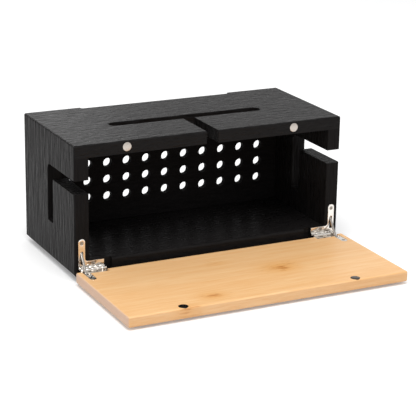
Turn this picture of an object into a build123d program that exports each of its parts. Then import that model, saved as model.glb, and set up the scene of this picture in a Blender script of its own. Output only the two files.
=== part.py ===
from build123d import *
import math
import os

# Cable management box: a low wooden box with a drop-down front door on two double-jointed stop hinges.
#
# Sizes are in millimetres. The pieces are drawn in the body's own frame: X to the right with 0 at the
# middle, Y to the back with 0 at the body's front face, Z up with 0 at the body's underside, and the
# door open and level. On export they move to the row frame, whose origin is the middle of the whole
# footprint, door included, on the surface that the feet stand on.

# Body boards
body_width = 320.0
body_depth = 150.5
body_height = 143.3
board = 16.0
top_board = 14.0
board_arris = 2.0
sill_arris = 3.0

# Back board, housed in grooves in front of the rear edge
back_board = 7.0
back_recess = 23.5
groove_depth = 4.0
groove_clearance = 0.1
hole_radius = 5.3
hole_pitch_x = 24.0
hole_pitch_z = 19.8
hole_columns = 11
hole_rows = 4
lowest_hole_height = 44.4

# Cable slots in the top board: one along the width, one from it to the front edge, a notch at the rear
cable_slot = 14.0
top_slot_length = 185.0
top_slot_back = 67.0
rear_notch_length = 186.0
rear_notch_depth = 5.5
rear_notch_corner = 2.5
slot_arris = 0.8

# L-shaped cable slots in the side boards, open at the front edge
side_slot_low = 90.3
side_slot_height = 15.0
side_slot_reach = 78.5
side_drop_width = 16.0
side_drop_floor = 40.5
side_slot_corner = 7.0
side_slot_inner_corner = 2.0

# Dowels in the corner joints
dowel_radius = 3.0
dowel_length = 25.0
dowel_in_outer_board = 10.0
dowel_clearance = 0.05
dowel_bottom_space = 0.5
dowels_per_joint = 3
top_dowel_front = 20.0
bottom_dowel_front = 42.0
dowel_rear_margin = 10.5

# Door
door_length = 138.1
door_board = 11.6
door_overhang = 2.4
door_arris = 2.0
closed_gap = 1.0

# Magnets in the top board's front edge and the steel plates that they hold
magnet_radius = 5.0
magnet_thickness = 3.0
magnet_drop = 6.7
magnet_spread = 200.0
strike_radius = 5.2
strike_thickness = 1.6
disc_clearance = 0.05

# Rubber feet
foot_height = 6.5
foot_radius = 8.0
foot_flare = 1.0
foot_edge = 0.8
foot_inset = 22.0

# Hinges: a leaf on the body, a leaf on the door, and a link between their two pivots
hinge_inset = 4.1
barrel_length = 29.0
knuckles = 5
knuckle_gap = 0.2
knuckle_radius = 1.5
pin_radius = 0.75
pin_running = 0.05
pin_seat = 0.02
link_length = 5.8
link_thickness = 1.2
folded_link_rise = 2.76
knuckle_clearance = 0.25
arm_width = 7.5
leaf_thickness = 1.4
leaf_clearance = 0.3
body_arm_top = 41.2
cheek_top = 16.0
flare_radius = 3.3
overrun_width = 9.0
overrun_depth = 4.0
door_leaf_thickness = 1.2
door_leaf_sink = 1.3
door_strip_width = 9.0
door_arm_width = 7.0
door_arm_length = 28.2
door_arm_sink = 0.1
door_arm_overlap = 1.1
neck_width = 1.6
door_edge_setback = 1.6

# Stays: short bars that pivot in the door and slide into the side boards
stay_thickness = 2.2
stay_width = 2.4
stay_eye_radius = 1.9
stay_pin_radius = 1.0
stay_pin_length = 6.6
stay_foot_back = 6.8
stay_head_height = 26.4
stay_head_length = 5.4
stay_head_clearance = 0.45
stay_closed_slope = 49.0
stay_slot_width = 3.4
stay_swing_clearance = 0.4
door_slot_before = 6.8
door_slot_after = 4.1
mortise_width = 6.2
swing_steps = 24

# Countersunk wood screws
screw_head_radius = 2.2
screw_head_height = 1.2
screw_shank_radius = 1.1
screw_tip = 1.5
screw_clearance = 0.03
screw_bottom_space = 0.3
recess_width = 0.6
recess_reach = 1.3
recess_depth = 0.7
body_screw_length = 12.0
door_screw_length = 6.5
arm_screw_height = 36.6
door_arm_screw_back = 23.3
cheek_screw_place = 17.0

# Worked-out places
half_width = body_width / 2
roof = body_height - top_board
back_front = body_depth - back_recess - back_board
half_gap = closed_gap / 2
body_pivot_y = -half_gap
pivot_z = link_length + folded_link_rise
door_pivot_y = body_pivot_y - link_length
door_face = pivot_z - half_gap
door_edge_y = door_pivot_y - door_edge_setback
door_free_y = door_edge_y - door_length
hinge_start = -half_width + hinge_inset
hinge_end = hinge_start + barrel_length
arm_middle = hinge_start + arm_width / 2
cheek_low = pivot_z + knuckle_radius + knuckle_clearance
door_leaf_top = door_face - door_leaf_sink
door_leaf_low = door_leaf_top - door_leaf_thickness
door_arm_top = door_face - door_arm_sink
door_arm_low = door_arm_top - door_leaf_thickness
stay_foot_y = door_pivot_y - stay_foot_back
stay_foot_z = door_leaf_low - stay_pin_radius - pin_running
stay_head_y = leaf_thickness + stay_pin_radius + stay_head_clearance
stay_length = math.hypot(stay_head_y - stay_foot_y, stay_head_height - stay_foot_z)
stay_slope = math.degrees(math.atan2(stay_head_height - stay_foot_z, stay_head_y - stay_foot_y))
magnet_z = body_height - magnet_drop
strike_y = door_pivot_y - (magnet_z - folded_link_rise)

# The row frame: the middle of the open footprint, on the surface under the feet
front_y = -(door_free_y + body_depth) / 2
row_frame = Location((0, front_y, foot_height))


def block(x, y, z):
    """A rectangular solid that fills three (low, high) spans."""
    spans = (x, y, z)
    middle = [(low + high) / 2 for low, high in spans]
    size = [high - low for low, high in spans]
    return Pos(*middle) * Box(*size)


def bar_x(x, y, z, radius):
    """A round bar along X over an (low, high) span."""
    return Pos((x[0] + x[1]) / 2, y, z) * Rot(0, 90, 0) * Cylinder(radius, x[1] - x[0])


def bar_y(x, y, z, radius):
    """A round bar along Y over an (low, high) span."""
    return Pos(x, (y[0] + y[1]) / 2, z) * Rot(90, 0, 0) * Cylinder(radius, y[1] - y[0])


def bar_z(x, y, z, radius):
    """A round bar along Z over an (low, high) span."""
    return Pos(x, y, (z[0] + z[1]) / 2) * Cylinder(radius, z[1] - z[0])


def grown(span, margin):
    return (span[0] - margin, span[1] + margin)


def both_hands(solid):
    """The left-hand solid and its mirror image."""
    return [solid, mirror(solid, about=Plane.YZ)]


def edges_between(solid, low, high):
    """The edges whose whole length lies inside a box given by its corners."""
    found = []
    for edge in solid.edges():
        bounds = edge.bounding_box()
        near = (bounds.min.X, bounds.min.Y, bounds.min.Z)
        far = (bounds.max.X, bounds.max.Y, bounds.max.Z)
        above = all(value > limit for value, limit in zip(near, low))
        below = all(value < limit for value, limit in zip(far, high))
        if above and below:
            found.append(edge)
    return found


def save(name, solids):
    """Writes one node, moved from the body's frame to the row frame."""
    placed = [row_frame * solid for solid in solids]
    shape = placed[0] if len(placed) == 1 else Compound(children=placed)
    export_step(shape, os.path.join("parts", name + ".step"))


def stay_place(share):
    """Where the stay's foot is, and its slope, with the door turned up by a share of its swing."""
    turn = math.radians(90 * share)
    back = stay_foot_y - door_pivot_y
    up = stay_foot_z - pivot_z
    foot_y = body_pivot_y - link_length * math.cos(turn) + back * math.cos(turn) + up * math.sin(turn)
    foot_z = pivot_z - link_length * math.sin(turn) - back * math.sin(turn) + up * math.cos(turn)
    slope = math.radians(stay_slope + (stay_closed_slope - stay_slope) * share)
    return foot_y, foot_z, slope


# The room that the stay sweeps at the body leaf, and as far as its head goes into the side board
slot_heights = []
head_heights = []
head_depths = []
for step in range(swing_steps + 1):
    foot_y, foot_z, slope = stay_place(step / swing_steps)
    for depth in (0, leaf_thickness):
        height = foot_z + (depth - foot_y) * math.tan(slope)
        half_height = stay_width / 2 / math.cos(slope)
        slot_heights += [height - half_height, height + half_height]
    head_heights.append(foot_z + stay_length * math.sin(slope) + stay_width / 2)
    head_depths.append(foot_y + stay_length * math.cos(slope) + stay_width / 2)
body_slot_low = min(slot_heights) - stay_swing_clearance
body_slot_high = max(slot_heights) + stay_swing_clearance
mortise_low = body_slot_low - stay_swing_clearance
mortise_high = max(head_heights + slot_heights) + stay_swing_clearance
mortise_depth = max(head_depths) + stay_swing_clearance

os.makedirs("parts", exist_ok=True)

# Screws and the bores that they drive into. Each is drawn with its head up and its top at the origin.


def screw_profile(length, margin, extra):
    head = screw_head_radius + margin
    shank = screw_shank_radius + margin
    end = -(length + extra)
    outline = Polyline(
        (0, 0),
        (head, 0),
        (shank, -screw_head_height),
        (shank, end + screw_tip),
        (0, end),
        close=True,
    )
    return revolve(Plane.XZ * make_face(outline), Axis.Z)


def screw(length):
    solid = screw_profile(length, 0, 0)
    along = block((-recess_reach, recess_reach), grown((0, 0), recess_width / 2), (-recess_depth, 1))
    across = block(grown((0, 0), recess_width / 2), (-recess_reach, recess_reach), (-recess_depth, 1))
    return solid - along - across


def screw_bore(length):
    return screw_profile(length, screw_clearance, screw_bottom_space)


into_front = Rot(90, 0, 0)
cheek_screw_x = hinge_start + cheek_screw_place
body_screw_places = [(arm_middle, arm_screw_height), (cheek_screw_x, (cheek_low + cheek_top) / 2)]
body_screw_spots = [Pos(x, 0, z) * into_front for x, z in body_screw_places]
door_strip_screw_y = door_pivot_y - door_strip_width / 2 - neck_width / 2
door_arm_screw_y = door_pivot_y - door_arm_screw_back
door_screw_spots = [
    Pos(cheek_screw_x, door_strip_screw_y, door_leaf_top),
    Pos(arm_middle, door_arm_screw_y, door_arm_top),
]

# Hinge knuckles: odd ones belong to the leaves, even ones to the link

knuckle_pitch = barrel_length / knuckles
knuckle_spans = []
for index in range(knuckles):
    low = hinge_start + index * knuckle_pitch
    knuckle_spans.append((low + knuckle_gap / 2, low + knuckle_pitch - knuckle_gap / 2))
leaf_knuckles = knuckle_spans[0::2]
link_knuckles = knuckle_spans[1::2]
barrel_span = (hinge_start, hinge_end)
arm_span = (hinge_start, hinge_start + arm_width)

# Body leaf: an upright arm with a round top that flares into a cheek along the bottom board, above a row of
# knuckles
arm_radius = arm_width / 2
flare_x = (arm_span[1], arm_span[1] + flare_radius)
flare_z = (cheek_top, cheek_top + flare_radius)


def flare(y, margin):
    """The hollow-sided corner between the arm and the cheek."""
    return block(flare_x, y, flare_z) - bar_y(flare_x[1], grown(y, 1), flare_z[1], flare_radius - margin)


body_leaf = block(arm_span, (0, leaf_thickness), (cheek_low, body_arm_top - arm_radius))
body_leaf += bar_y(arm_middle, (0, leaf_thickness), body_arm_top - arm_radius, arm_radius)
body_leaf += block(barrel_span, (0, leaf_thickness), (cheek_low, cheek_top))
body_leaf += flare((0, leaf_thickness), 0)
for span in leaf_knuckles:
    body_leaf += bar_x(span, body_pivot_y, pivot_z, knuckle_radius)
    body_leaf += block(span, (0, leaf_thickness), (pivot_z, cheek_low))
body_leaf -= bar_x(grown(barrel_span, 1), body_pivot_y, pivot_z, pin_radius + pin_seat)
half_slot = stay_slot_width / 2
slot_span = (arm_middle - half_slot, arm_middle + half_slot)
through_leaf = grown((0, leaf_thickness), 1)
body_leaf -= block(slot_span, through_leaf, (body_slot_low + half_slot, body_slot_high - half_slot))
for z in (body_slot_low + half_slot, body_slot_high - half_slot):
    body_leaf -= bar_y(arm_middle, through_leaf, z, half_slot)
for spot in body_screw_spots:
    body_leaf -= spot * screw_bore(body_screw_length)

# Door leaf: a strip sunk into the door's hinge edge, which steps up to an arm level with the inner face
door_strip_far = door_pivot_y - door_strip_width
door_arm_radius = door_arm_width / 2
door_arm_end = door_pivot_y - door_arm_length + door_arm_radius
door_arm_span = grown((arm_middle, arm_middle), door_arm_radius)
door_arm_start = door_strip_far + door_arm_overlap
leaf_layer = (door_leaf_low, door_leaf_top)
arm_layer = (door_arm_low, door_arm_top)
door_leaf = block(barrel_span, (door_strip_far, door_pivot_y + neck_width / 2), leaf_layer)
door_leaf += block(door_arm_span, (door_arm_end, door_arm_start), arm_layer)
door_leaf += bar_z(arm_middle, door_arm_end, arm_layer, door_arm_radius)
for span in leaf_knuckles:
    door_leaf += bar_x(span, door_pivot_y, pivot_z, knuckle_radius)
    door_leaf += block(span, grown((door_pivot_y, door_pivot_y), neck_width / 2), (door_leaf_low, pivot_z))
door_leaf -= bar_x(grown(barrel_span, 1), door_pivot_y, pivot_z, pin_radius + pin_seat)
door_slot = (stay_foot_y - door_slot_before, stay_foot_y + door_slot_after)
door_slot_line = (door_slot[0] + half_slot, door_slot[1] - half_slot)
stay_floor = stay_foot_z - stay_eye_radius - stay_swing_clearance


def stay_slot_cut(margin, z):
    """The round-ended slot that the stay passes, through the door leaf and into the door."""
    width = grown(slot_span, margin)
    cut = block(width, door_slot_line, z)
    for y in door_slot_line:
        cut += bar_z(arm_middle, y, z, half_slot + margin)
    return cut


door_leaf -= stay_slot_cut(0, grown((door_leaf_low, door_arm_top), 1))
for spot in door_screw_spots:
    door_leaf -= spot * screw_bore(door_screw_length)

# Link: eyes on both pivots and a web that joins them in the space between the two barrels
web_inset = knuckle_radius + knuckle_clearance
web_span = (link_knuckles[0][0], link_knuckles[-1][1])
web_layer = grown((pivot_z, pivot_z), link_thickness / 2)
link = block(web_span, (door_pivot_y + web_inset, body_pivot_y - web_inset), web_layer)
for span in link_knuckles:
    link += block(span, (door_pivot_y, body_pivot_y), web_layer)
    for y in (body_pivot_y, door_pivot_y):
        link += bar_x(span, y, pivot_z, knuckle_radius)
for y in (body_pivot_y, door_pivot_y):
    link -= bar_x(grown(barrel_span, 1), y, pivot_z, pin_radius + pin_running)

body_pin = bar_x(barrel_span, body_pivot_y, pivot_z, pin_radius)
door_pin = bar_x(barrel_span, door_pivot_y, pivot_z, pin_radius)

# Stay: a bar with an eye in the door and a cross head that catches behind the body leaf
stay_layer = grown((arm_middle, arm_middle), stay_thickness / 2)
stay_run = block(stay_layer, (0, stay_length), grown((0, 0), stay_width / 2))
stay_run += bar_x(stay_layer, 0, 0, stay_eye_radius)
stay_run += bar_x(stay_layer, stay_length, 0, stay_width / 2)
stay_run += bar_x(grown((arm_middle, arm_middle), stay_head_length / 2), stay_length, 0, stay_pin_radius)
stay_run -= bar_x(grown(stay_layer, 1), 0, 0, stay_pin_radius + pin_running)
stay = Pos(0, stay_foot_y, stay_foot_z) * Rot(stay_slope, 0, 0) * stay_run
stay_pin_span = grown((arm_middle, arm_middle), stay_pin_length / 2)
stay_pin = bar_x(stay_pin_span, stay_foot_y, stay_foot_z, stay_pin_radius)

# Pockets that the hinge takes up in the body: for the arm, for the cheek and barrel, the overrun of the
# cutter beside them, and the mortise that the stay slides into
arm_pocket = grown(arm_span, leaf_clearance)
pocket_depth = (-1, leaf_thickness)
hinge_pocket = block(arm_pocket, pocket_depth, (-1, body_arm_top - arm_radius))
hinge_pocket += bar_y(arm_middle, pocket_depth, body_arm_top - arm_radius, arm_radius + leaf_clearance)
hinge_pocket += block(grown(barrel_span, leaf_clearance), pocket_depth, (-1, board + 1))
hinge_pocket += flare(pocket_depth, leaf_clearance)
overrun_start = hinge_end + leaf_clearance
overrun = (overrun_start, overrun_start + overrun_width)
hinge_pocket += block(overrun, (-1, overrun_depth), (-1, board + 1))
half_mortise = mortise_width / 2
mortise_span = (arm_middle - half_mortise, arm_middle + half_mortise)
hinge_pocket += block(mortise_span, (0, mortise_depth), (mortise_low, mortise_high))
for spot in body_screw_spots:
    hinge_pocket += spot * screw_bore(body_screw_length)

# Pockets in the door's inner face: for the leaf, for the stay and for the stay's pin
leaf_depth = (door_leaf_low, door_face + 1)
arm_depth = (door_arm_low, door_face + 1)
pocket_far = door_strip_far - leaf_clearance
door_pocket = block(grown(barrel_span, leaf_clearance), (pocket_far, door_edge_y + 1), leaf_depth)
door_pocket += block(grown(door_arm_span, leaf_clearance), (door_arm_end, door_edge_y), arm_depth)
door_pocket += bar_z(arm_middle, door_arm_end, arm_depth, door_arm_radius + leaf_clearance)
door_pocket += stay_slot_cut(leaf_clearance, (stay_floor, door_face))
pin_room = stay_pin_radius + pin_running
trough_x = grown(stay_pin_span, 2 * pin_running)
trough_y = grown((stay_foot_y, stay_foot_y), pin_room)
door_pocket += block(trough_x, trough_y, (stay_foot_z - pin_room, door_leaf_low))
for spot in door_screw_spots:
    door_pocket += spot * screw_bore(door_screw_length)

# Housing for the back board, cut into the four boards around it
back_x = (-(half_width - board + groove_depth), half_width - board + groove_depth)
back_y = (back_front, back_front + back_board)
back_z = (board - groove_depth, roof + groove_depth)
housing = block(
    grown(back_x, groove_clearance), grown(back_y, groove_clearance), grown(back_z, groove_clearance)
)

# Dowels: upright ones between top and sides, level ones between sides and bottom
dowel_rest = dowel_length - dowel_in_outer_board
side_middle = half_width - board / 2
top_dowel_span = (roof - dowel_rest, roof + dowel_in_outer_board)
level_dowel_span = (-half_width + board - dowel_in_outer_board, -half_width + board + dowel_rest)


def dowel_places(front):
    """Even places from the front one to the last one before the rear edge."""
    pitch = (body_depth - dowel_rear_margin - front) / (dowels_per_joint - 1)
    return [front + index * pitch for index in range(dowels_per_joint)]


top_dowels = []
top_dowel_bores = []
for y in dowel_places(top_dowel_front):
    for x in (-side_middle, side_middle):
        top_dowels.append(bar_z(x, y, top_dowel_span, dowel_radius))
        room = grown(top_dowel_span, dowel_bottom_space)
        top_dowel_bores.append(bar_z(x, y, room, dowel_radius + dowel_clearance))
bottom_dowels = []
bottom_dowel_bores = []
for y in dowel_places(bottom_dowel_front):
    bottom_dowels += both_hands(bar_x(level_dowel_span, y, board / 2, dowel_radius))
    room = grown(level_dowel_span, dowel_bottom_space)
    bottom_dowel_bores += both_hands(bar_x(room, y, board / 2, dowel_radius + dowel_clearance))

# Magnets and strike plates
magnets = []
strikes = []
for x in (-magnet_spread / 2, magnet_spread / 2):
    magnets.append(bar_y(x, (0, magnet_thickness), magnet_z, magnet_radius))
    strikes.append(bar_z(x, strike_y, (door_face - strike_thickness, door_face), strike_radius))

# Top board: the long slot, the slot to the front edge and the rear notch, with softened upper edges
top_panel = block((-half_width, half_width), (0, body_depth), (roof, body_height))
upright_corners = top_panel.edges().filter_by(Axis.Z)
upper_edges = top_panel.faces().sort_by(Axis.Z)[-1].edges()
top_panel = fillet(upright_corners + upper_edges, board_arris)
through_top = grown((roof, body_height), 1)
half_cable = cable_slot / 2
slot_line = top_slot_length / 2 - half_cable
top_cut = block((-slot_line, slot_line), grown((top_slot_back, top_slot_back), half_cable), through_top)
for x in (-slot_line, slot_line):
    top_cut += bar_z(x, top_slot_back, through_top, half_cable)
top_cut += block((-half_cable, half_cable), (-1, top_slot_back), through_top)
half_notch = rear_notch_length / 2
notch = block((-half_notch, half_notch), (body_depth - rear_notch_depth, body_depth + board), through_top)
notch = fillet(notch.edges().filter_by(Axis.Z), rear_notch_corner)
top_panel -= top_cut
top_panel -= notch
slot_edges = edges_between(
    top_panel,
    (-half_notch - 1, board_arris, body_height - 0.1),
    (half_notch + 1, body_depth - board_arris, body_height + 0.1),
)
top_panel = fillet(slot_edges, slot_arris)
for bore in top_dowel_bores:
    top_panel -= bore
top_panel -= housing
for x in (-magnet_spread / 2, magnet_spread / 2):
    top_panel -= bar_y(x, (-1, magnet_thickness), magnet_z, magnet_radius + disc_clearance)

# Bottom board, between the sides
bottom_panel = block((-half_width + board, half_width - board), (0, body_depth), (0, board))
sill = bottom_panel.edges().filter_by(Axis.X).group_by(Axis.Y)[0].sort_by(Axis.Z)[-1]
bottom_panel = fillet(sill, sill_arris)
for cut in both_hands(hinge_pocket) + bottom_dowel_bores:
    bottom_panel -= cut
bottom_panel -= housing

# Side boards: the L-shaped slot runs back from the front edge and then down
left_side_panel = block((-half_width, -half_width + board), (0, body_depth), (0, roof))
outer_face = left_side_panel.faces().sort_by(Axis.X)[0]
top_edge = outer_face.edges().sort_by(Axis.Z)[-1]
outer_edges = [edge for edge in outer_face.edges() if edge.center().Z < top_edge.center().Z - 1]
left_side_panel = fillet(outer_edges, board_arris)
through_side = grown((-half_width, -half_width + board), 1)
slot_top = side_slot_low + side_slot_height
side_cut = block(through_side, (-board, side_slot_reach), (side_slot_low, slot_top))
drop_front = side_slot_reach - side_drop_width
side_cut += block(through_side, (drop_front, side_slot_reach), (side_drop_floor, slot_top))
side_cut = fillet(
    edges_between(
        side_cut,
        (-half_width - board, side_slot_reach - 1, slot_top - 1),
        (half_width, side_slot_reach + 1, slot_top + 1),
    )[:1],
    side_slot_corner,
)
drop_corners = edges_between(
    side_cut,
    (-half_width - board, drop_front - 1, side_drop_floor - 1),
    (half_width, side_slot_reach + 1, side_drop_floor + 1),
)
side_cut = fillet([edge for edge in drop_corners if edge.length > board], side_slot_inner_corner)
left_side_panel -= side_cut
left_side_panel -= hinge_pocket
for bore in top_dowel_bores + bottom_dowel_bores:
    left_side_panel -= bore
left_side_panel -= housing
right_side_panel = mirror(left_side_panel, about=Plane.YZ)

# Back board with its grid of round holes
back_panel = block(back_x, back_y, back_z)
grid_left = -hole_pitch_x * (hole_columns - 1) / 2
through_back = grown(back_y, 1)
for column in range(hole_columns):
    for row in range(hole_rows):
        x = grid_left + column * hole_pitch_x
        z = lowest_hole_height + row * hole_pitch_z
        back_panel -= bar_y(x, through_back, z, hole_radius)

# Door
door_span = grown((-half_width, half_width), door_overhang)
door_panel = block(door_span, (door_free_y, door_edge_y), (door_face - door_board, door_face))
door_panel = fillet(door_panel.edges(), door_arris)
for cut in both_hands(door_pocket):
    door_panel -= cut
for x in (-magnet_spread / 2, magnet_spread / 2):
    room = (door_face - strike_thickness, door_face + 1)
    door_panel -= bar_z(x, strike_y, room, strike_radius + disc_clearance)

# Feet: low rubber cones under the bottom board
foot_outline = Polyline(
    (0, 0),
    (foot_radius, 0),
    (foot_radius - foot_flare, -foot_height + foot_edge),
    (foot_radius - foot_flare - foot_edge, -foot_height),
    (0, -foot_height),
    close=True,
)
foot = revolve(Plane.XZ * make_face(foot_outline), Axis.Z)
feet = []
for x in (-half_width + foot_inset, half_width - foot_inset):
    for y in (foot_inset, body_depth - foot_inset):
        feet.append(Pos(x, y, 0) * foot)

# Nodes
save("top_panel", [top_panel])
save("bottom_panel", [bottom_panel])
save("left_side_panel", [left_side_panel])
save("right_side_panel", [right_side_panel])
save("back_panel", [back_panel])
save("door_panel", [door_panel])
save("top_dowels", top_dowels)
save("bottom_dowels", bottom_dowels)
save("feet", feet)
body_screws = []
for spot in body_screw_spots:
    body_screws += both_hands(spot * screw(body_screw_length))
save("body_leaf_screws", body_screws)
door_screws = []
for spot in door_screw_spots:
    door_screws += both_hands(spot * screw(door_screw_length))
save("door_leaf_screws", door_screws)
for hand, magnet, strike in zip(("left", "right"), magnets, strikes):
    save(hand + "_magnet", [magnet])
    save(hand + "_strike_plate", [strike])
hinge_pieces = {
    "body_leaf": body_leaf,
    "door_leaf": door_leaf,
    "hinge_link": link,
    "body_pin": body_pin,
    "door_pin": door_pin,
    "stay": stay,
    "stay_pin": stay_pin,
}
for name, left_piece in hinge_pieces.items():
    for hand, piece in zip(("left", "right"), both_hands(left_piece)):
        save(hand + "_" + name, [piece])
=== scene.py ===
import bpy
import math
from mathutils import Matrix, Vector


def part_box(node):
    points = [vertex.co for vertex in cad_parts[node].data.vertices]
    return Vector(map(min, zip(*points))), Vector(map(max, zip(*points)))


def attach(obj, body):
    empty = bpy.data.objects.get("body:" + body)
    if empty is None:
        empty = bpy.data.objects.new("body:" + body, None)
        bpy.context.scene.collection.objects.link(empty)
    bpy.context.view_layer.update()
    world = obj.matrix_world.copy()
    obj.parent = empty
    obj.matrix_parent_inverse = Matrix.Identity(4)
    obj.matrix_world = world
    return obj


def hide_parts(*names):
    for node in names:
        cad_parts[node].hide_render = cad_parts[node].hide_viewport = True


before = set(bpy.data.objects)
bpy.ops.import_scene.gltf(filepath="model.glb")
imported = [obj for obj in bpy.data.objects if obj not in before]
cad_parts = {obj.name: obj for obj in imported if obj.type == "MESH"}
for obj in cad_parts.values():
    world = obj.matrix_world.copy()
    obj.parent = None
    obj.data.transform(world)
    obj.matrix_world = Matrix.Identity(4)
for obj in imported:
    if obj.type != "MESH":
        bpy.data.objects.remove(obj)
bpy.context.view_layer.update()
bpy.ops.object.select_all(action="DESELECT")
mm = 0.001


# Camera. A telephoto on a tripod, 1.6 m in front of the box and to its left, looking a little down on it.
# It is turned 26.6 degrees, so the left side shows as well as the front.
camera_place = (-0.7265, -1.44296, 0.5843)
camera_turn = math.radians(-26.626)
camera_tilt = math.radians(90 - 17.914)
camera_roll = math.radians(0.983)
bpy.ops.object.camera_add()
camera = bpy.context.object
camera.data.sensor_width = 36
camera.data.lens = 134.6
camera.matrix_world = (
    Matrix.Translation(camera_place)
    @ Matrix.Rotation(camera_turn, 4, "Z")
    @ Matrix.Rotation(camera_tilt, 4, "X")
    @ Matrix.Rotation(camera_roll, 4, "Z")
)
bpy.context.scene.camera = camera
bpy.context.scene.view_settings.view_transform = "Standard"


# Floor. A white paper sweep under the box: matt, and bright enough to read as plain white,
# while the box's own soft shadow stays on it. A weak glow that only the eye meets makes up for what paper
# doesn't send back, and adds no light to the box.
def linear(colour):
    """An sRGB hex colour as linear red, green, blue and alpha."""
    parts = [int(colour[i : i + 2], 16) / 255 for i in (1, 3, 5)]
    return [c / 12.92 if c <= 0.04045 else ((c + 0.055) / 1.055) ** 2.4 for c in parts] + [1]


def add_node(tree, kind, settings=None, inputs=None):
    """Adds a node, sets its properties, and gives each input a value or a link from another node's socket."""
    node = tree.nodes.new(kind)
    for name, value in (settings or {}).items():
        setattr(node, name, value)
    for name, value in (inputs or {}).items():
        if isinstance(value, bpy.types.NodeSocket):
            tree.links.new(value, node.inputs[name])
        else:
            node.inputs[name].default_value = value
    return node


def empty_tree(owner):
    """The node tree of a material or world, with nothing in it."""
    owner.use_nodes = True
    owner.node_tree.nodes.clear()
    return owner.node_tree


def seen_directly(tree):
    """A socket that is 1 for rays from the camera, reflected or refracted too, and 0 for lighting."""
    path = add_node(tree, "ShaderNodeLightPath")
    mirrored = add_node(
        tree,
        "ShaderNodeMath",
        {"operation": "MAXIMUM"},
        {0: path.outputs["Is Glossy Ray"], 1: path.outputs["Is Transmission Ray"]},
    )
    return add_node(
        tree,
        "ShaderNodeMath",
        {"operation": "MAXIMUM"},
        {0: path.outputs["Is Camera Ray"], 1: mirrored.outputs[0]},
    ).outputs[0]


floor_span = 14.0
floor_lift = 0.2
floor_paper = bpy.data.materials.new("white_paper_sweep")
tree = empty_tree(floor_paper)
paper = add_node(tree, "ShaderNodeBsdfDiffuse", {}, {"Color": linear("#f0f0f0")})
lift = add_node(tree, "ShaderNodeMath", {"operation": "MULTIPLY"}, {0: seen_directly(tree), 1: floor_lift})
glow = add_node(tree, "ShaderNodeEmission", {}, {"Strength": lift.outputs[0]})
both = add_node(tree, "ShaderNodeAddShader", {}, {0: paper.outputs[0], 1: glow.outputs[0]})
add_node(tree, "ShaderNodeOutputMaterial", {}, {"Surface": both.outputs[0]})
bpy.ops.mesh.primitive_plane_add(size=floor_span)
floor = bpy.context.object
floor.name = "floor"
floor.data.materials.append(floor_paper)


# Light. A white studio room, and one large softbox high above the open door, a little to the left,
# which keeps the shadows faint. A dim one far behind is what the left end of the lacquered top reflects.
world = bpy.data.worlds.new("studio")
bpy.context.scene.world = world
tree = empty_tree(world)
room_light = 0.92
strength = add_node(
    tree,
    "ShaderNodeMapRange",
    {},
    {"Value": seen_directly(tree), "To Min": room_light, "To Max": 1.0},
)
room = add_node(tree, "ShaderNodeBackground", {}, {"Strength": strength.outputs[0]})
add_node(tree, "ShaderNodeOutputWorld", {}, {"Surface": room.outputs[0]})


def softbox(name, place, aim, size, power):
    """A square area lamp at a place, turned towards a point."""
    bpy.ops.object.light_add(type="AREA", location=place)
    lamp = bpy.context.object
    lamp.name = name
    lamp.data.size = size
    lamp.data.energy = power
    lamp.rotation_euler = (Vector(aim) - Vector(place)).to_track_quat("-Z", "Y").to_euler()
    lamp.visible_camera = False


softbox("overhead_softbox", place=(-0.35, -0.6, 1.9), aim=(0, -0.05, 0), size=1.2, power=24)
softbox("back_softbox", place=(0.12, 1.7, 0.7), aim=(-0.1, 0, 0.15), size=0.9, power=2.2)


# Boards of the box. Bamboo ply, brushed with a wire wheel, stained black and sprayed with a thin satin
# lacquer. The brushing leaves the hard fibres proud, so the sheen breaks up into streaks along the grain.
def grain_coordinates(tree, upright):
    """Object coordinates turned so that X runs along the grain, which is upright on some boards."""
    place = add_node(tree, "ShaderNodeTexCoord")
    if not upright:
        return place.outputs["Object"]
    turned = add_node(
        tree,
        "ShaderNodeMapping",
        {},
        {"Vector": place.outputs["Object"], "Rotation": (0, math.pi / 2, 0)},
    )
    return turned.outputs[0]


def streaks(tree, grain, long, wide, detail=2.0, shift=0.0):
    """Noise drawn out along the grain into streaks of a length and width in metres."""
    stretched = add_node(
        tree,
        "ShaderNodeMapping",
        {},
        {"Vector": grain, "Location": (shift, shift, shift), "Scale": (1 / long, 1 / wide, 1 / wide)},
    )
    return add_node(
        tree,
        "ShaderNodeTexNoise",
        {},
        {"Vector": stretched.outputs[0], "Scale": 1.0, "Detail": detail, "Roughness": 0.6},
    ).outputs[0]


def strip_tones(tree, grain, width, shift=0.0):
    """One random value for each strip of bamboo, which are glued side by side across the grain."""
    split = add_node(tree, "ShaderNodeSeparateXYZ", {}, {0: grain})
    count = add_node(
        tree, "ShaderNodeMath", {"operation": "MULTIPLY_ADD"}, {0: split.outputs[1], 1: 1 / width, 2: shift}
    )
    whole = add_node(tree, "ShaderNodeMath", {"operation": "FLOOR"}, {0: count.outputs[0]})
    return add_node(
        tree, "ShaderNodeTexWhiteNoise", {"noise_dimensions": "1D"}, {"W": whole.outputs[0]}
    ).outputs[0]


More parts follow.
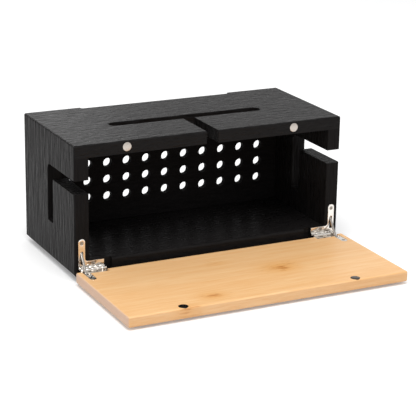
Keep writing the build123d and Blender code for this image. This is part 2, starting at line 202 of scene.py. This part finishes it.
def lacquer_surface(tree, upright, sheen, furrow_length, brushing):
    """Black stain under satin lacquer on brushed bamboo, as a shader socket."""
    # It looks near black face on, and grey where it mirrors the room at a flat angle, in streaks.
    # The brushed furrows are about 1 mm apart, and drawn 2 and 5 mm wide, so that they show at this distance.
    grain = grain_coordinates(tree, upright)
    fibre = streaks(tree, grain, 0.6 * furrow_length, 2.2 * mm)
    furrow = streaks(tree, grain, furrow_length, 5 * mm, 2.0, 3.0)
    height = add_node(tree, "ShaderNodeMath", {"operation": "MULTIPLY_ADD"}, {0: fibre, 1: 0.6, 2: furrow})
    stain = add_node(
        tree,
        "ShaderNodeMix",
        {"data_type": "RGBA"},
        {0: fibre, 6: linear("#0e0d0d"), 7: linear("#211f1f")},
    )
    gloss = add_node(
        tree,
        "ShaderNodeMapRange",
        {},
        {"Value": fibre, "From Min": 0.3, "From Max": 0.7, "To Min": 0.24, "To Max": 0.42},
    )
    relief = add_node(
        tree,
        "ShaderNodeBump",
        {},
        {"Strength": 1.0, "Distance": brushing, "Height": height.outputs[0]},
    )
    return add_node(
        tree,
        "ShaderNodeBsdfPrincipled",
        {},
        {
            "Base Color": stain.outputs[2],
            "Roughness": gloss.outputs[0],
            "IOR": sheen,
            "Normal": relief.outputs[0],
        },
    ).outputs[0]


def black_lacquer(name, upright, sheen, furrow_length, brushing):
    """The finish of a board whose grain runs one way on every face."""
    material = bpy.data.materials.new(name)
    tree = empty_tree(material)
    surface = lacquer_surface(tree, upright, sheen, furrow_length, brushing)
    add_node(tree, "ShaderNodeOutputMaterial", {}, {"Surface": surface})
    return material


def turned_lacquer(name, brushing):
    """The finish of the top and bottom boards, whose ends look like the upright sides that they continue."""
    material = bpy.data.materials.new(name)
    tree = empty_tree(material)
    along = lacquer_surface(tree, False, top_sheen, top_furrow, brushing)
    ends = lacquer_surface(tree, True, side_sheen, side_furrow, deep_brushing)
    place = add_node(tree, "ShaderNodeTexCoord")
    facing = add_node(tree, "ShaderNodeSeparateXYZ", {}, {0: place.outputs["Normal"]})
    sideways = add_node(tree, "ShaderNodeMath", {"operation": "ABSOLUTE"}, {0: facing.outputs[0]})
    at_end = add_node(
        tree, "ShaderNodeMath", {"operation": "GREATER_THAN"}, {0: sideways.outputs[0], 1: 0.75}
    )
    both = add_node(tree, "ShaderNodeMixShader", {}, {0: at_end.outputs[0], 1: along, 2: ends})
    add_node(tree, "ShaderNodeOutputMaterial", {}, {"Surface": both.outputs[0]})
    return material


def dress(nodes, material):
    """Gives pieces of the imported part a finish."""
    for name in nodes:
        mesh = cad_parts[name].data
        mesh.materials.clear()
        mesh.materials.append(material)


# A satin lacquer over open, brushed grain mirrors less than a smooth coat of it, so these IORs are low.
top_sheen = 1.155
side_sheen = 1.1
back_sheen = 1.03
top_furrow = 20 * mm
side_furrow = 45 * mm
deep_brushing = 1.5 * mm
light_brushing = 0.5 * mm
dress(("top_panel",), turned_lacquer("black_lacquered_bamboo_brushed", deep_brushing))
dress(("bottom_panel",), turned_lacquer("black_lacquered_bamboo_smooth", light_brushing))
side_finish = black_lacquer("black_lacquered_bamboo_upright", True, side_sheen, side_furrow, deep_brushing)
dress(("left_side_panel", "right_side_panel"), side_finish)
back_finish = black_lacquer("black_stained_bamboo", False, back_sheen, top_furrow, light_brushing)
dress(("back_panel",), back_finish)


# Dowels. Fluted beech pegs glued into the corners, out of sight between the boards. Raw turned beech is
# pale and matt, with fine darker flecks along the peg.
beech = bpy.data.materials.new("turned_beech")
tree = empty_tree(beech)
grain = grain_coordinates(tree, True)
fibre = streaks(tree, grain, 9 * mm, 0.5 * mm)
wood = add_node(
    tree,
    "ShaderNodeMix",
    {"data_type": "RGBA"},
    {0: fibre, 6: linear("#c89b6c"), 7: linear("#e2c199")},
)
surface = add_node(
    tree,
    "ShaderNodeBsdfPrincipled",
    {},
    {"Base Color": wood.outputs[2], "Roughness": 0.6, "IOR": 1.45},
)
add_node(tree, "ShaderNodeOutputMaterial", {}, {"Surface": surface.outputs[0]})
dress(("top_dowels", "bottom_dowels"), beech)


# Feet. Four discs of black rubber, moulded and stuck under the corners. The mould is blasted, so the
# rubber is matt, with fine pores and hardly a sheen.
rubber = bpy.data.materials.new("moulded_rubber")
tree = empty_tree(rubber)
place = add_node(tree, "ShaderNodeTexCoord")
pores = add_node(
    tree,
    "ShaderNodeTexNoise",
    {},
    {"Vector": place.outputs["Object"], "Scale": 1 / (0.8 * mm), "Detail": 2.0},
)
black = add_node(
    tree,
    "ShaderNodeMix",
    {"data_type": "RGBA"},
    {0: pores.outputs[0], 6: linear("#161616"), 7: linear("#262524")},
)
relief = add_node(
    tree,
    "ShaderNodeBump",
    {},
    {"Strength": 0.6, "Distance": 0.03 * mm, "Height": pores.outputs[0]},
)
surface = add_node(
    tree,
    "ShaderNodeBsdfPrincipled",
    {},
    {"Base Color": black.outputs[2], "Roughness": 0.75, "IOR": 1.5, "Normal": relief.outputs[0]},
)
add_node(tree, "ShaderNodeOutputMaterial", {}, {"Surface": surface.outputs[0]})
dress(("feet",), rubber)


# Hinge leaves, links, stays and pins. Steel strip, blanked and rolled, with a bright nickel plating that
# mirrors the bamboo and the boards around it, faintly clouded. Tumbling before the plating rounds every
# cut edge, so each edge carries a thin highlight.
def plated_steel(name, dark, light, smooth, rough, scratch=0.01 * mm):
    """Plated steel between two tones, with a roughness that wanders a little."""
    material = bpy.data.materials.new(name)
    tree = empty_tree(material)
    place = add_node(tree, "ShaderNodeTexCoord")
    cloud = add_node(
        tree,
        "ShaderNodeTexNoise",
        {},
        {"Vector": place.outputs["Object"], "Scale": 1 / (2.5 * mm), "Detail": 3.0},
    )
    fine = add_node(
        tree,
        "ShaderNodeTexNoise",
        {},
        {"Vector": place.outputs["Object"], "Scale": 1 / (0.4 * mm), "Detail": 2.0},
    )
    plating = add_node(
        tree,
        "ShaderNodeMix",
        {"data_type": "RGBA"},
        {0: cloud.outputs[0], 6: linear(dark), 7: linear(light)},
    )
    gloss = add_node(
        tree,
        "ShaderNodeMapRange",
        {},
        {"Value": cloud.outputs[0], "From Min": 0.3, "From Max": 0.7, "To Min": smooth, "To Max": rough},
    )
    relief = add_node(
        tree,
        "ShaderNodeBump",
        {},
        {"Strength": 0.3, "Distance": scratch, "Height": fine.outputs[0]},
    )
    surface = add_node(
        tree,
        "ShaderNodeBsdfPrincipled",
        {},
        {
            "Base Color": plating.outputs[2],
            "Metallic": 1.0,
            "Roughness": gloss.outputs[0],
            "Normal": relief.outputs[0],
        },
    )
    add_node(tree, "ShaderNodeOutputMaterial", {}, {"Surface": surface.outputs[0]})
    return material


def tumbled(node, body, material, rounding):
    """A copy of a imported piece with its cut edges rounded, which stands for that piece."""
    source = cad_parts[node]
    piece = bpy.data.objects.new(node + "_tumbled", source.data.copy())
    bpy.context.scene.collection.objects.link(piece)
    bpy.ops.object.select_all(action="DESELECT")
    bpy.context.view_layer.objects.active = piece
    piece.select_set(True)
    bpy.ops.object.mode_set(mode="EDIT")
    bpy.ops.mesh.select_all(action="SELECT")
    bpy.ops.mesh.remove_doubles(threshold=0.001 * mm)
    bpy.ops.mesh.dissolve_limited(angle_limit=math.radians(1))
    bpy.ops.object.mode_set(mode="OBJECT")
    edge = piece.modifiers.new("rounded", "BEVEL")
    edge.width = rounding
    edge.segments = 2
    edge.limit_method = "ANGLE"
    edge.angle_limit = math.radians(35)
    bpy.ops.object.modifier_apply(modifier=edge.name)
    bpy.ops.object.shade_smooth_by_angle(angle=math.radians(40))
    piece.data.materials.clear()
    piece.data.materials.append(material)
    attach(piece, body)
    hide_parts(node)
    return piece


nickel = plated_steel("nickel_plated_steel", "#e6e0d8", "#f4efe9", 0.08, 0.18)
# The stays are bare steel, as smooth as the plated parts. Their darker tone is painted shade, standing for
# the dark box that they mirror.
stay_steel_painted_dark = plated_steel("stay_steel_with_painted_shade", "#a39d97", "#bcb6af", 0.1, 0.2)
hinge_bodies = {
    "body_leaf": "carcass",
    "body_pin": "carcass",
    "hinge_link": "{side}_link",
    "door_leaf": "door",
    "door_pin": "door",
    "stay_pin": "door",
    "stay": "{side}_stay",
}
for side in ("left", "right"):
    for part, body in hinge_bodies.items():
        metal = stay_steel_painted_dark if part == "stay" else nickel
        tumbled(f"{side}_{part}", body.format(side=side), metal, 0.15 * mm)


# Screws. Countersunk cross-recess wood screws, driven flush with the leaves. They are steel with a thin
# zinc plating, which is greyer than nickel and satin.
screw_zinc = plated_steel("zinc_plated_screw_steel", "#98928a", "#b8b2aa", 0.2, 0.35)
tumbled("body_leaf_screws", "carcass", screw_zinc, 0.06 * mm)
tumbled("door_leaf_screws", "door", screw_zinc, 0.06 * mm)


# Magnets. Sintered discs, pressed into bores in the top board's front edge until they lie flush. Their
# nickel plating follows the grainy sintered metal, so it is duller than on the hinges.
magnet_nickel = plated_steel("nickel_plated_magnet", "#b9b0a8", "#cac2ba", 0.25, 0.4)
tumbled("left_magnet", "carcass", magnet_nickel, 0.4 * mm)
tumbled("right_magnet", "carcass", magnet_nickel, 0.4 * mm)


# Door. A board of natural bamboo, made of strips laid side by side along the width, sanded and sealed
# with a clear satin lacquer. It is honey coloured with fine deeper fibres. A few joints of the culm show as
# brown marks in a warmer patch, and the ends are duller end grain.
door_low, door_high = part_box("door_panel")
strip_width = 21 * mm
# Each mark's place along and across the door, its length and width, and how strong it is
joint_marks = (
    (44 * mm, -82 * mm, 28 * mm, 20 * mm, 1.0),
    (-60 * mm, -129 * mm, 24 * mm, 17 * mm, 0.8),
    (-14 * mm, -44 * mm, 20 * mm, 14 * mm, 0.3),
    (-97 * mm, -149 * mm, 22 * mm, 10 * mm, 0.6),
)
bamboo = bpy.data.materials.new("clear_lacquered_bamboo")
tree = empty_tree(bamboo)
grain = grain_coordinates(tree, False)
# The fibre bundles are about 0.5 mm apart, and drawn 1.3 mm wide, so that they show.
fibre = streaks(tree, grain, 30 * mm, 1.3 * mm)
band = streaks(tree, grain, 110 * mm, 6 * mm, 1.0, 5.0)
tone = strip_tones(tree, grain, strip_width, 0.15)
pale_and_deep = add_node(
    tree,
    "ShaderNodeMix",
    {"data_type": "RGBA"},
    {0: band, 6: linear("#ecb578"), 7: linear("#f8cf9c")},
)
strips = add_node(
    tree,
    "ShaderNodeMix",
    {"data_type": "RGBA", "blend_type": "MULTIPLY"},
    {0: 0.08, 6: pale_and_deep.outputs[2], 7: tone},
)
fibre_share = add_node(
    tree,
    "ShaderNodeMapRange",
    {},
    {"Value": fibre, "From Min": 0.45, "From Max": 0.75, "To Min": 0.0, "To Max": 0.6},
)
fibres = add_node(
    tree,
    "ShaderNodeMix",
    {"data_type": "RGBA"},
    {0: fibre_share.outputs[0], 6: strips.outputs[2], 7: linear("#e2a35e")},
)
colour = fibres.outputs[2]
wander = streaks(tree, grain, 17 * mm, 2.4 * mm, 3.0, 9.0)
for along, across, length, width, depth in joint_marks:
    centred = add_node(
        tree,
        "ShaderNodeMapping",
        {"vector_type": "TEXTURE"},
        {"Vector": grain, "Location": (along, across, door_high.z), "Scale": (length, width, length)},
    )
    reach = add_node(tree, "ShaderNodeVectorMath", {"operation": "LENGTH"}, {0: centred.outputs[0]})
    glow = add_node(
        tree,
        "ShaderNodeMapRange",
        {"interpolation_type": "SMOOTHSTEP"},
        {"Value": reach.outputs["Value"], "From Max": 1.3, "To Min": 0.6 * depth, "To Max": 0.0},
    )
    colour = add_node(
        tree,
        "ShaderNodeMix",
        {"data_type": "RGBA"},
        {0: glow.outputs[0], 6: colour, 7: linear("#e2a253")},
    ).outputs[2]
    ragged = add_node(
        tree, "ShaderNodeMath", {"operation": "MULTIPLY_ADD"}, {0: wander, 1: 4.0, 2: reach.outputs["Value"]}
    )
    mark = add_node(
        tree,
        "ShaderNodeMapRange",
        {"interpolation_type": "SMOOTHSTEP"},
        {"Value": ragged.outputs[0], "From Min": 1.5, "From Max": 2.5, "To Min": depth, "To Max": 0.0},
    )
    colour = add_node(
        tree,
        "ShaderNodeMix",
        {"data_type": "RGBA"},
        {0: mark.outputs[0], 6: colour, 7: linear("#bd7634")},
    ).outputs[2]
split = add_node(tree, "ShaderNodeSeparateXYZ", {}, {0: grain})
from_middle = add_node(tree, "ShaderNodeMath", {"operation": "ABSOLUTE"}, {0: split.outputs[0]})
end_grain = add_node(
    tree,
    "ShaderNodeMapRange",
    {"interpolation_type": "SMOOTHSTEP"},
    {"Value": from_middle.outputs[0], "From Min": door_high.x - 1.6 * mm, "From Max": door_high.x - 0.4 * mm},
)
colour = add_node(
    tree,
    "ShaderNodeMix",
    {"data_type": "RGBA"},
    {0: end_grain.outputs[0], 6: colour, 7: linear("#d9b597")},
).outputs[2]
# Faces that turn sideways, the sawn edges, are painted a little darker and greyer than the top face: painted
# shade, for the lesser light that falls on upright faces.
place = add_node(tree, "ShaderNodeTexCoord")
facing = add_node(tree, "ShaderNodeSeparateXYZ", {}, {0: place.outputs["Normal"]})
sideways_painted_shade = add_node(
    tree,
    "ShaderNodeMapRange",
    {},
    {"Value": facing.outputs[2], "From Min": 0.2, "From Max": 0.8, "To Min": 1.0, "To Max": 0.0},
)
colour = add_node(
    tree,
    "ShaderNodeMix",
    {"data_type": "RGBA", "blend_type": "MULTIPLY"},
    {0: sideways_painted_shade.outputs[0], 6: colour, 7: linear("#f2f0f2")},
).outputs[2]
relief = add_node(
    tree,
    "ShaderNodeBump",
    {},
    {"Strength": 0.6, "Distance": 0.02 * mm, "Height": fibre},
)
surface = add_node(
    tree,
    "ShaderNodeBsdfPrincipled",
    {},
    {"Base Color": colour, "Roughness": 0.42, "IOR": 1.4, "Normal": relief.outputs[0]},
)
add_node(tree, "ShaderNodeOutputMaterial", {}, {"Surface": surface.outputs[0]})
dress(("door_panel",), bamboo)


# Strike plates. Steel discs, pressed into the door where it meets the magnets. They are blackened and
# then polished, so they are dark mirrors with a brown cast.
strike_steel = plated_steel("polished_dark_steel", "#443b32", "#52483e", 0.16, 0.26)
tumbled("left_strike_plate", "door", strike_steel, 0.3 * mm)
tumbled("right_strike_plate", "door", strike_steel, 0.3 * mm)
